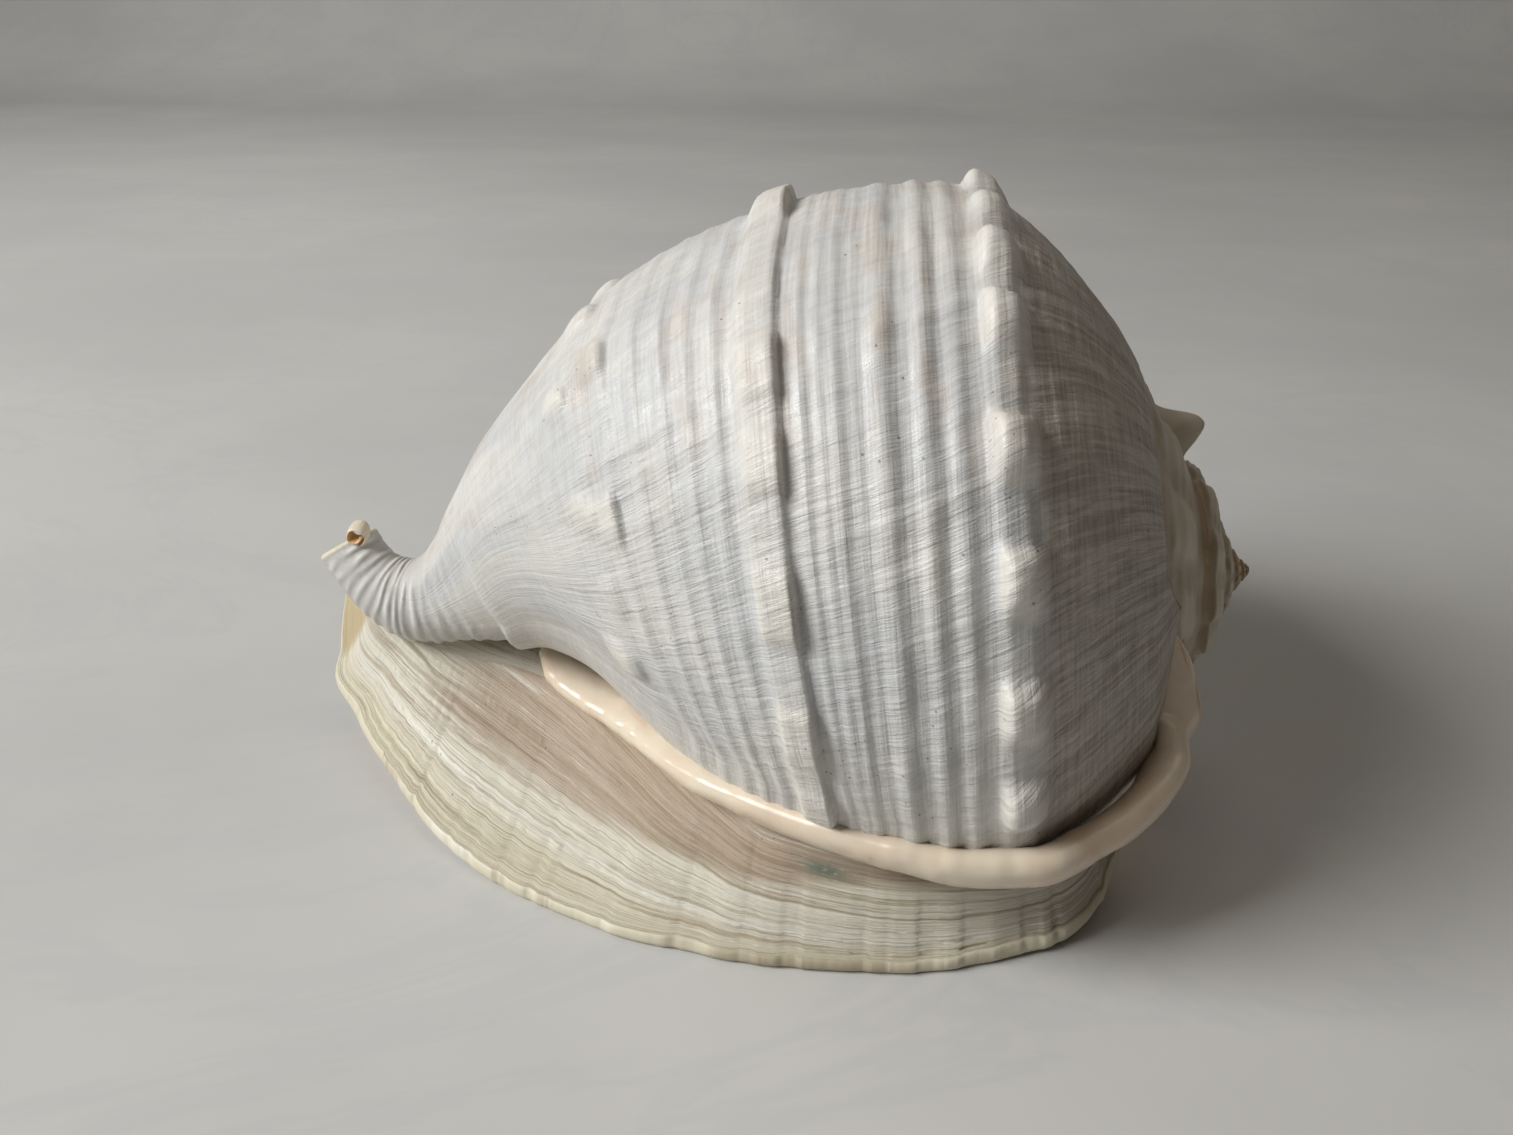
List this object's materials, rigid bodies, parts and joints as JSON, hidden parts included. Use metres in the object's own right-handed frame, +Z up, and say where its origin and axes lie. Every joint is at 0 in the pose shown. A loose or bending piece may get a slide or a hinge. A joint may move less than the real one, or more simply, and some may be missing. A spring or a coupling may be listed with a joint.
{
  "type": "queen helmet shell",
  "caption": "Large helmet seashell grown in one piece: a knobbed, corded last whorl over a low spire, a recurved canal, a broad shield and a toothed lip around a narrow aperture.",
  "frame": {"origin": "centre of the bounding box at floor level", "axes": "+X along the coiling axis towards the apex, with the canal at -X; +Z up; -Y towards the free edge of the shield and +Y towards the outer lip"},
  "size_m": [0.2758, 0.2006, 0.1724],
  "materials": {
    "shell": "satin white shell with cream callus"
  },
  "bodies": {
    "root": {"shell": "shell"}
  },
  "joints": []
}
